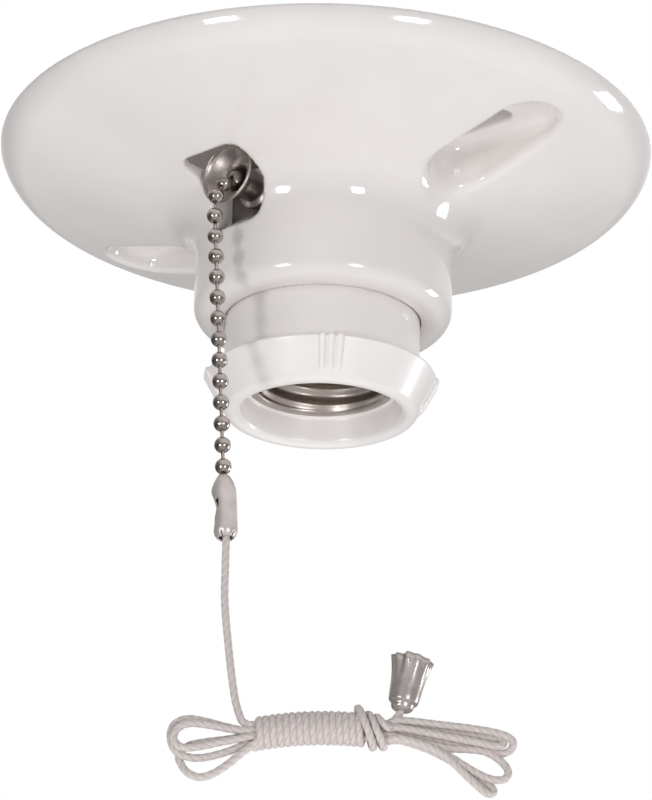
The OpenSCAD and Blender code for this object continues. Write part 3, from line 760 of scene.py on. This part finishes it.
def make_bell_mouth():
    """Trumpet-shaped guide with a rolled lip, a collar and a threaded stem."""
    stem = [(2.92 + 0.08 * math.cos(2 * math.pi * (i / 6)), 17 + 0.56 * (i / 6)) for i in range(36)]
    outside = [(4.1, 20.42), (4.25, 20.6), (4.25, 21.4), (4.1, 21.6), (3.3, 21.75), (3.05, 22.2),
               (3, 23.2), (3.05, 24.6), (3.2, 25.8), (3.65, 26.9), (4.5, 28), (5.4, 29), (5.95, 29.7)]
    lip_r = 0.32
    round_lip = np.radians(np.arange(-40, 200, 20))
    lip = [(6.05 + lip_r * math.cos(a), 30.05 + lip_r * math.sin(a)) for a in round_lip]
    inside = [(5.6, 29.7), (5.1, 29.25), (4.4, 28.7), (3.6, 28.05), (2.95, 27.35), (2.45, 26.4),
              (2.2, 25.2), (2.1, 23), (2.1, 17)]
    points, faces = lathe(np.array(stem + outside + lip + inside), full_turn(120))
    points = along_axis(points, (0, 0, BELL_Z), (0, -1, 0))
    return put(outward(make_mesh("bell_mouth_trumpet", points, faces, FINISH["bell_nickel"])), "bell_mouth")


make_bell_mouth()


# ---------------------------------------------------------------- chain

BEAD_R = 1.6
HOLE_R = 0.46
ROD_R = 0.33
ROD_SIDES = 16
THROAT = np.array([0, -27.2, -15.2])
MOUTH = np.array([0, -30.7, -17.6])
LIP = np.array([0, -33, -21.1])


def hanging(i):
    """Centre of a bead of the hanging chain, counted from the one at its pivot."""
    return SWING + LEAN * PITCH * i


def along_bell(i):
    """Centre of a bead of the inner run, counted inwards from the throat."""
    return np.array([0, -22.75 + PITCH * i, BELL_Z])


def centre_of(node):
    """Middle of a CAD node's box."""
    low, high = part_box(node)
    return np.array((low + high) / 2) / MM


def bead(centre, axis, turn):
    """Hollow bead rolled from strip: a hole at each end and a seam between them."""
    hole = math.asin(HOLE_R / BEAD_R)
    rows = [(0.42, -1.3), (0.43, -1.46)]
    for a in np.linspace(hole, math.pi - hole, 18):
        rows.append((BEAD_R * math.sin(a), -BEAD_R * math.cos(a)))
    rows += [(0.43, 1.46), (0.42, 1.3)]

    def seam(radius, height, angle):
        away = np.abs((angle - turn + math.pi) % (2 * math.pi) - math.pi) * radius
        return radius - 0.05 * np.exp(-((away / 0.09) ** 2)), height

    fine = (turn + np.linspace(-0.1, 0.1, 5)) % (2 * math.pi)
    angles = np.sort(np.concatenate([full_turn(28), fine]))
    points, faces = lathe(np.array(rows), angles, seam)
    return along_axis(points, centre, axis), faces[: (len(rows) - 1) * len(angles)]


def turned_rod(start, end, rows):
    """Rows of (radius, height) turned round the line from start to end, with a flat face at both ends."""
    points, faces = lathe(np.array(rows), full_turn(ROD_SIDES))
    last = (len(rows) - 1) * ROD_SIDES
    ends = [list(range(ROD_SIDES)), list(range(last, last + ROD_SIDES))]
    return along_axis(points, start, end - start), [list(f) for f in faces[:last]] + ends


HEAD = [(0.05, 0.72), (0.42, 0.78), (0.55, 0.98), (0.42, 1.2), (0.36, 1.34), (0.4, 1.55), (0.36, 1.8)]


def rod(start, end):
    """Dumb-bell link: its heads sit inside the two beads."""
    length = np.linalg.norm(end - start)
    return turned_rod(start, end, HEAD + [(ROD_R, length / 2)] + [(r, length - h) for r, h in HEAD[::-1]])


def half_rod(start, end):
    """A link that turns with the bead at start: it stops just short of the bead at end."""
    length = np.linalg.norm(end - start)
    blunt_end = [(ROD_R, length / 2), (0.36, length - 1.85), (0.05, length - 1.75)]
    return turned_rod(start, end, HEAD + blunt_end)


def make_beads(name, node, centres, axes):
    """One piece of beads, each with its seam turned to another side."""
    turns = [(2.4 * i + 0.7 * len(node)) % (2 * math.pi) for i in range(len(centres))]
    points, faces = join([bead(c, a, t) for c, a, t in zip(centres, axes, turns)])
    return put(outward(make_mesh(name, points, faces, FINISH["nickel"])), node)


def make_links(name, node, rods):
    """One piece of rods."""
    points, faces = join(rods)
    return put(outward(make_mesh(name, points, faces, FINISH["nickel"])), node)


def make_chain():
    """The whole chain, from the lever's bead through the bell mouth to the bead in the coupling."""
    lever = centre_of("lever_bead")
    inner = [along_bell(i) for i in range(4)]
    hung = [hanging(i) for i in range(1, HANGING_BEADS + 1)]
    end = hanging(HANGING_BEADS + 1)
    back = np.array([0.0, 1.0, 0.0])
    make_beads("chain_inner_beads", "inner_beads", inner, [back] * 4)
    make_beads("chain_lever_bead", "lever_bead", [lever], [inner[3] - lever])
    make_beads("chain_throat_bead", "throat_bead", [THROAT], [MOUTH - inner[0]])
    make_beads("chain_mouth_bead", "mouth_bead", [MOUTH], [LIP - THROAT])
    make_beads("chain_lip_bead", "lip_bead", [LIP], [SWING - MOUTH])
    make_beads("chain_swing_bead", "swing_bead", [SWING], [LEAN])
    make_beads("chain_hanging_beads", "chain_beads", hung, [LEAN] * HANGING_BEADS)
    make_beads("chain_end_bead", "coupling_bead", [end], [LEAN])
    pairs = list(zip(inner[:-1], inner[1:]))
    make_links("chain_inner_links", "inner_links",
               [rod(p, q) for p, q in pairs] + [half_rod(inner[3], lever), half_rod(inner[0], THROAT)])
    make_links("chain_throat_link", "throat_link", [half_rod(THROAT, MOUTH)])
    make_links("chain_mouth_link", "mouth_link", [half_rod(MOUTH, LIP)])
    make_links("chain_lip_link", "lip_link", [half_rod(SWING, LIP)])
    make_links("chain_swing_link", "swing_link", [half_rod(hung[0], SWING)])
    make_links("chain_hanging_links", "chain_links", [rod(p, q) for p, q in zip(hung[:-1], hung[1:])])
    make_links("chain_end_link", "coupling_link", [half_rod(end, hung[-1])])


make_chain()


# ---------------------------------------------------------------- coupling


def make_coupling():
    """Sheet tube: a domed top, a notch with an opening in one side, and claws bent in round the cord."""
    rows = [(0.98, 0), (1.2, 0.3), (1.5, 0.8), (1.82, 1.4), (2.08, 2.1), (2.26, 2.8), (2.33, 3.4)]
    rows += [(2.34, h) for h in np.arange(3.8, 11.1, 0.3)]
    rows += [(2.33, 11.3), (2.26, 11.7), (2.13, 12.1), (1.92, 12.5), (1.7, 12.8), (1.55, 12.98)]
    rows = np.array(rows)
    count = 72
    notch = math.radians(-40)
    radius, angle = np.meshgrid(rows[:, 0], full_turn(count), indexing="ij")
    height = np.meshgrid(rows[:, 1], full_turn(count), indexing="ij")[0]
    away = (angle - notch + math.pi) % (2 * math.pi) - math.pi
    above = np.clip((height - 3.2) / 3.4, 0, 1) ** 1.3
    below = 0.3 + 0.7 * np.exp(-(((height - 6.6) / 1.5) ** 2))
    slope = np.where(height < 6.6, above, below) * np.clip((12 - height) / 2, 0, 1)
    radius = radius - 1.05 * np.exp(-((away / 0.7) ** 2)) * slope
    flap = np.exp(-((away / 0.6) ** 2)) * np.exp(-(((height - 3.2) / 1.3) ** 2))
    radius = radius + 0.12 * flap
    claw = np.abs((angle * 5 / (2 * math.pi)) % 1 - 0.5)
    lower = np.clip((height - 11.4) / 1.6, 0, 1)
    radius = radius - 0.12 * lower * np.exp(-((claw / 0.1) ** 2))
    points = np.stack([radius * np.cos(angle), radius * np.sin(angle), height], -1).reshape(-1, 3)
    faces = []
    for f in grid_faces(len(rows), count):
        a, h, c = away.ravel()[f], height.ravel()[f].mean(), claw.ravel()[f].mean()
        in_hole = -1.1 < a.min() and a.max() < -0.15 and 5.2 < h < 7
        in_slit = h > 11.9 and c < 0.05
        if not in_hole and not in_slit:
            faces.append(f)
    start = hanging(HANGING_BEADS) + LEAN * COUPLING_DROP
    points = lean_points(points, start)
    piece = make_mesh("chain_coupling_sleeve", points, faces, FINISH["satin_nickel"])
    sheet = piece.modifiers.new("sheet", "SOLIDIFY")
    sheet.thickness = 0.3 * MM
    sheet.offset = -1
    return put(outward(piece), "chain_coupling")


def lean_points(points, start):
    """Points modelled along +Z, hung from start along the chain: local +X points towards -X."""
    turn = math.pi - math.atan2(LEAN[0], -LEAN[2])
    c, s = math.cos(turn), math.sin(turn)
    x, y, z = points.T
    return start + np.stack([c * x + s * z, y, -s * x + c * z], -1)


make_coupling()


# ---------------------------------------------------------------- inner parts


SHARP = math.radians(38)
CREASE = math.radians(32)


def bevelled_copy(node, name, width, finish):
    """The CAD shape with its edges broken, as pressed, turned or moulded parts have them."""
    mesh = frame["nodes"][node].data.copy()
    mesh.name = name
    work = bmesh.new()
    work.from_mesh(mesh)
    bmesh.ops.remove_doubles(work, verts=work.verts, dist=1e-6)
    bmesh.ops.dissolve_limit(work, angle_limit=math.radians(1.0), verts=work.verts, edges=work.edges)
    sharp = [e for e in work.edges if e.is_manifold and e.calc_face_angle(0) > SHARP]
    bmesh.ops.bevel(work, geom=sharp, offset=width * MM, segments=2, affect="EDGES", clamp_overlap=True)
    for face in work.faces:
        face.smooth = True
    for edge in work.edges:
        edge.smooth = not (edge.is_manifold and edge.calc_face_angle(0) > CREASE)
    bmesh.ops.triangulate(work, faces=[f for f in work.faces if len(f.verts) > 4])
    work.to_mesh(mesh)
    work.free()
    if "custom_normal" in mesh.attributes:
        mesh.attributes.remove(mesh.attributes["custom_normal"])
    mesh.materials.clear()
    mesh.materials.append(FINISH[finish])
    piece = bpy.data.objects.new(name, mesh)
    bpy.context.scene.collection.objects.link(piece)
    return put(piece, node)


# CAD node: name of its piece, and the width of its broken edges
INNER_PARTS = {
    "contact_base": ("centre_contact_plate", 0.12),
    "contact_leaf": ("centre_contact_tongue", 0.08),
    "contact_rivet": ("centre_contact_rivet", 0.15),
    "socket_screws": ("socket_screw_pair", 0.15),
    "insulating_disc": ("insulating_washer", 0.12),
    "retaining_ring": ("retaining_snap_ring", 0.05),
    "mechanism_bracket": ("mechanism_frame", 0.18),
    "bell_nut": ("bell_lock_nut", 0.25),
    "switch_block": ("switch_housing", 0.3),
    "block_pins": ("switch_housing_pins", 0.15),
    "line_contact": ("line_contact_strip", 0.1),
    "load_contact": ("load_contact_strip", 0.1),
    "neutral_strap": ("neutral_contact_strap", 0.1),
    "line_screw": ("line_terminal_screw", 0.2),
    "neutral_screw": ("neutral_terminal_screw", 0.2),
    "rotor": ("switch_drum", 0.15),
    "rotor_contact": ("switch_drum_contact", 0.08),
    "ratchet_wheel": ("switch_ratchet", 0.1),
    "rotor_axle": ("switch_axle", 0.15),
    "chain_lever": ("chain_pull_lever", 0.15),
    "return_spring": ("lever_return_spring", 0.03),
}
for cad_node, (piece_name, edge) in INNER_PARTS.items():
    bevelled_copy(cad_node, piece_name, edge, SLOT_OF[cad_node])


# ---------------------------------------------------------------- studio


def softbox(name, at, aim, size, power):
    """A rectangular light at a place in metres, turned to its aim."""
    data = bpy.data.lights.new(name, "AREA")
    data.shape = "RECTANGLE"
    data.size, data.size_y = size
    data.energy = power
    light = bpy.data.objects.new(name, data)
    light.location = at
    light.rotation_mode = "QUATERNION"
    light.rotation_quaternion = (Vector(aim) - Vector(at)).to_track_quat("-Z", "Y")
    bpy.context.scene.collection.objects.link(light)
    return light


CAMERA_BEARING = -49.5


def from_camera(turn, lift, distance):
    """A place seen from the lamp at an angle to the camera's direction, and an elevation."""
    a = math.radians(CAMERA_BEARING + turn)
    e = math.radians(lift)
    flat = distance * math.cos(e)
    return (flat * math.cos(a), flat * math.sin(a), distance * math.sin(e))


def room_seen_in_metal(tree):
    """A pale room for reflections: bright above, dim at the height of the eye and to the left."""
    place = tree.nodes.new("ShaderNodeTexCoord")
    height = tree.nodes.new("ShaderNodeSeparateXYZ")
    tree.links.new(place.outputs["Generated"], height.inputs[0])
    up_down = tree.nodes.new("ShaderNodeMapRange")
    up_down.inputs["From Min"].default_value = -1
    tree.links.new(height.outputs["Z"], up_down.inputs["Value"])
    bands = tree.nodes.new("ShaderNodeValToRGB")
    stops = [(0.0, 0.56), (0.22, 0.48), (0.38, 0.28), (0.52, 0.32), (0.7, 0.85)]
    while len(bands.color_ramp.elements) < len(stops):
        bands.color_ramp.elements.new(0.5)
    for element, (at, grey) in zip(bands.color_ramp.elements, stops):
        element.position = at
        element.color = (grey, grey * 0.97, grey * 0.96, 1)
    tree.links.new(up_down.outputs["Result"], bands.inputs["Fac"])
    side = tree.nodes.new("ShaderNodeVectorMath")
    side.operation = "DOT_PRODUCT"
    side.inputs[1].default_value = (-0.77, -0.64, 0)
    tree.links.new(place.outputs["Generated"], side.inputs[0])
    dim = tree.nodes.new("ShaderNodeMapRange")
    for key, value in (("From Min", 0.2), ("From Max", 0.8), ("To Min", 1.0), ("To Max", 0.3)):
        dim.inputs[key].default_value = value
    tree.links.new(side.outputs["Value"], dim.inputs["Value"])
    product = tree.nodes.new("ShaderNodeVectorMath")
    product.operation = "MULTIPLY"
    tree.links.new(bands.outputs["Color"], product.inputs[0])
    tree.links.new(dim.outputs["Result"], product.inputs[1])
    return product.outputs["Vector"]


def make_studio():
    """World, lights, floor and ceiling board: the camera, reflections and light each see their own world."""
    world = bpy.data.worlds.new("studio")
    bpy.context.scene.world = world
    world.use_nodes = True
    tree = world.node_tree
    output = next(n for n in tree.nodes if n.type == "OUTPUT_WORLD")
    seen = next(n for n in tree.nodes if n.type == "BACKGROUND")
    seen.inputs["Color"].default_value = (1, 1, 1, 1)
    seen.inputs["Strength"].default_value = 1.0
    lighting = tree.nodes.new("ShaderNodeBackground")
    lighting.inputs["Color"].default_value = (0.97, 0.975, 1, 1)
    lighting.inputs["Strength"].default_value = 0.5
    mirrored = tree.nodes.new("ShaderNodeBackground")
    mirrored.inputs["Strength"].default_value = 1.0
    tree.links.new(room_seen_in_metal(tree), mirrored.inputs["Color"])
    rays = tree.nodes.new("ShaderNodeLightPath")
    inner = tree.nodes.new("ShaderNodeMixShader")
    tree.links.new(rays.outputs["Is Glossy Ray"], inner.inputs[0])
    tree.links.new(lighting.outputs[0], inner.inputs[1])
    tree.links.new(mirrored.outputs[0], inner.inputs[2])
    mix = tree.nodes.new("ShaderNodeMixShader")
    tree.links.new(rays.outputs["Is Camera Ray"], mix.inputs[0])
    tree.links.new(inner.outputs[0], mix.inputs[1])
    tree.links.new(seen.outputs[0], mix.inputs[2])
    tree.links.new(mix.outputs[0], output.inputs["Surface"])
    aim = (0, 0, -0.03)
    softbox("left_softbox", from_camera(-36, -20, 1.6), aim, (0.26, 0.34), 5.5)
    softbox("right_softbox", from_camera(28, -20, 1.6), aim, (0.26, 0.34), 5)
    softbox("side_softbox", from_camera(112, -14, 1.7), aim, (0.34, 0.55), 6)
    panel = softbox("low_panel", (0.1, -0.2, -2.2), aim, (1.8, 1.8), 20)
    panel.visible_glossy = False
    bpy.context.scene.view_settings.view_transform = "Standard"
    reach = 9000
    low = -2500
    corners = [(-reach, -reach, low), (reach, -reach, low), (reach, reach, low), (-reach, reach, low)]
    floor = make_mesh("studio_floor", corners, [(0, 1, 2, 3)], pale_floor(), False)
    floor.visible_glossy = False
    floor.visible_diffuse = False
    board_r = 58
    disc = [(board_r * math.cos(a), board_r * math.sin(a), 1.5) for a in full_turn(48)]
    ceiling = make_mesh("ceiling_board", disc, [list(range(len(disc)))[::-1]], one_sided_board(), False)


make_studio()
